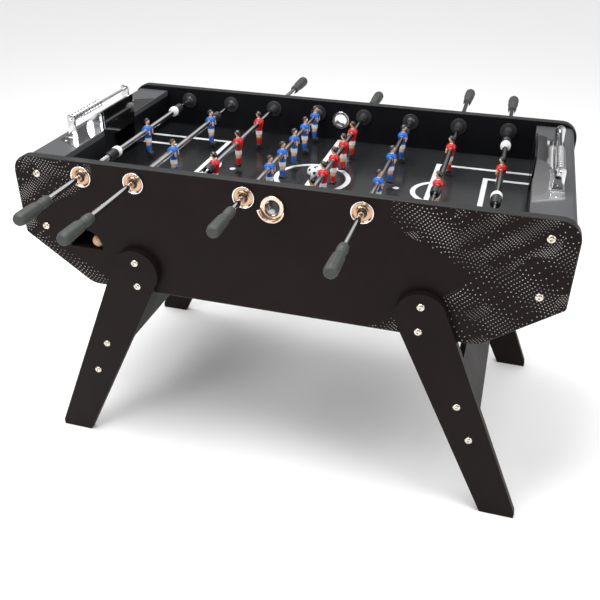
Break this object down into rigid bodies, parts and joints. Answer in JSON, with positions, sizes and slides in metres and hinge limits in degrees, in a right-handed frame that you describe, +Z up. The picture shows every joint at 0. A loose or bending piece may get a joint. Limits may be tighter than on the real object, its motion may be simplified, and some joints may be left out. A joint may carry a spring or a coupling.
{
  "type": "foosball table",
  "caption": "Table football game: dark board cabinet on splayed board legs, telescopic rods with moulded players, chrome goal hoods and bead scorers.",
  "frame": {"origin": "on the floor, under the middle of the cabinet", "axes": "+X along the table's length, +Y across towards the back, +Z up"},
  "size_m": [1.452, 1.447, 0.953],
  "materials": {
    "dark_laminate": "satin black-brown laminate",
    "edge_moulding": "dark grey edge moulding",
    "black_board": "satin black laminate",
    "grey_board": "satin grey laminate",
    "field_board": "glossy dark print",
    "nickel": "nickel plated",
    "chrome_plate": "polished",
    "warm_chrome": "polished dish",
    "chrome_steel": "polished",
    "chrome_tube": "polished",
    "black_acrylic": "gloss black",
    "bearing_plastic": "moulded dark grey",
    "grip_rubber": "matt dark grey",
    "stop_rubber": "black rubber",
    "blue_players": "painted moulded plastic",
    "red_players": "painted moulded plastic",
    "bead_chrome": "chrome plated plastic",
    "ball_white": "white with black spots",
    "cork": "cork"
  },
  "bodies": {
    "cabinet": {"front_side_panel": "dark_laminate", "back_side_panel": "dark_laminate", "edge_trims": "edge_moulding", "end_walls": "black_board", "cabinet_boards": "grey_board", "playfield": "field_board", "return_trays": "black_board", "legs": "dark_laminate", "leg_stretchers": "dark_laminate", "bolts": "nickel", "serving_cups": "chrome_plate", "goal_hoods": "chrome_plate", "goal_guards": "black_acrylic", "scorer_frames": "chrome_steel", "rod_bearings": "bearing_plastic", "outer_hubs": "warm_chrome"},
    "tray_ball": {"tray_ball": "cork"},
    "field_ball": {"field_ball": "ball_white"},
    "beads_left": {"scorer_beads_left": "bead_chrome"},
    "beads_right": {"scorer_beads_right": "bead_chrome"},
    "inner_rod_1": {"rod_1_inner": "chrome_steel"},
    "player_rod_1": {"rod_1_tube": "chrome_tube", "rod_1_grip": "grip_rubber", "rod_1_stops": "stop_rubber", "rod_1_players": "blue_players"},
    "inner_rod_2": {"rod_2_inner": "chrome_steel"},
    "player_rod_2": {"rod_2_tube": "chrome_tube", "rod_2_grip": "grip_rubber", "rod_2_stops": "stop_rubber", "rod_2_players": "blue_players"},
    "inner_rod_3": {"rod_3_inner": "chrome_steel"},
    "player_rod_3": {"rod_3_tube": "chrome_tube", "rod_3_grip": "grip_rubber", "rod_3_stops": "stop_rubber", "rod_3_players": "red_players"},
    "inner_rod_4": {"rod_4_inner": "chrome_steel"},
    "player_rod_4": {"rod_4_tube": "chrome_tube", "rod_4_grip": "grip_rubber", "rod_4_stops": "stop_rubber", "rod_4_players": "blue_players"},
    "inner_rod_5": {"rod_5_inner": "chrome_steel"},
    "player_rod_5": {"rod_5_tube": "chrome_tube", "rod_5_grip": "grip_rubber", "rod_5_stops": "stop_rubber", "rod_5_players": "red_players"},
    "inner_rod_6": {"rod_6_inner": "chrome_steel"},
    "player_rod_6": {"rod_6_tube": "chrome_tube", "rod_6_grip": "grip_rubber", "rod_6_stops": "stop_rubber", "rod_6_players": "blue_players"},
    "inner_rod_7": {"rod_7_inner": "chrome_steel"},
    "player_rod_7": {"rod_7_tube": "chrome_tube", "rod_7_grip": "grip_rubber", "rod_7_stops": "stop_rubber", "rod_7_players": "red_players"},
    "inner_rod_8": {"rod_8_inner": "chrome_steel"},
    "player_rod_8": {"rod_8_tube": "chrome_tube", "rod_8_grip": "grip_rubber", "rod_8_stops": "stop_rubber", "rod_8_players": "red_players"}
  },
  "joints": [
    {"name": "rod_1_spin", "type": "hinge", "parent": "cabinet", "child": "inner_rod_1", "pos_m": [-0.525, 0, 0.865], "axis": [0, 1, 0], "continuous": true},
    {"name": "rod_1_slide", "type": "slide", "parent": "inner_rod_1", "child": "player_rod_1", "axis": [0, 1, 0], "range_m": [-0.0905, 0.0705]},
    {"name": "rod_2_spin", "type": "hinge", "parent": "cabinet", "child": "inner_rod_2", "pos_m": [-0.375, 0, 0.865], "axis": [0, 1, 0], "continuous": true},
    {"name": "rod_2_slide", "type": "slide", "parent": "inner_rod_2", "child": "player_rod_2", "axis": [0, 1, 0], "range_m": [-0.1755, 0.1095]},
    {"name": "rod_3_spin", "type": "hinge", "parent": "cabinet", "child": "inner_rod_3", "pos_m": [-0.225, 0, 0.865], "axis": [0, 1, 0], "continuous": true},
    {"name": "rod_3_slide", "type": "slide", "parent": "inner_rod_3", "child": "player_rod_3", "axis": [0, 1, 0], "range_m": [-0.0945, 0.1145]},
    {"name": "rod_4_spin", "type": "hinge", "parent": "cabinet", "child": "inner_rod_4", "pos_m": [-0.075, 0, 0.865], "axis": [0, 1, 0], "continuous": true},
    {"name": "rod_4_slide", "type": "slide", "parent": "inner_rod_4", "child": "player_rod_4", "axis": [0, 1, 0], "range_m": [-0.1355, 0.0035]},
    {"name": "rod_5_spin", "type": "hinge", "parent": "cabinet", "child": "inner_rod_5", "pos_m": [0.075, 0, 0.865], "axis": [0, 1, 0], "continuous": true},
    {"name": "rod_5_slide", "type": "slide", "parent": "inner_rod_5", "child": "player_rod_5", "axis": [0, 1, 0], "range_m": [-0.0195, 0.1195]},
    {"name": "rod_6_spin", "type": "hinge", "parent": "cabinet", "child": "inner_rod_6", "pos_m": [0.225, 0, 0.865], "axis": [0, 1, 0], "continuous": true},
    {"name": "rod_6_slide", "type": "slide", "parent": "inner_rod_6", "child": "player_rod_6", "axis": [0, 1, 0], "range_m": [-0.1245, 0.0845]},
    {"name": "rod_7_spin", "type": "hinge", "parent": "cabinet", "child": "inner_rod_7", "pos_m": [0.375, 0, 0.865], "axis": [0, 1, 0], "continuous": true},
    {"name": "rod_7_slide", "type": "slide", "parent": "inner_rod_7", "child": "player_rod_7", "axis": [0, 1, 0], "range_m": [-0.1225, 0.1625]},
    {"name": "rod_8_spin", "type": "hinge", "parent": "cabinet", "child": "inner_rod_8", "pos_m": [0.525, 0, 0.865], "axis": [0, 1, 0], "continuous": true},
    {"name": "rod_8_slide", "type": "slide", "parent": "inner_rod_8", "child": "player_rod_8", "axis": [0, 1, 0], "range_m": [-0.1025, 0.0585]},
    {"name": "beads_left_slide", "type": "slide", "parent": "cabinet", "child": "beads_left", "axis": [0, 1, 0], "range_m": [0, 0.155]},
    {"name": "beads_right_slide", "type": "slide", "parent": "cabinet", "child": "beads_right", "axis": [0, 1, 0], "range_m": [0, 0.155]},
    {"name": "tray_ball_roll", "type": "slide", "parent": "cabinet", "child": "tray_ball", "axis": [0, 1, 0], "range_m": [0, 0.4]},
    {"name": "field_ball_roll", "type": "slide", "parent": "cabinet", "child": "field_ball", "axis": [0, 1, 0], "range_m": [-0.3, 0.3]}
  ]
}
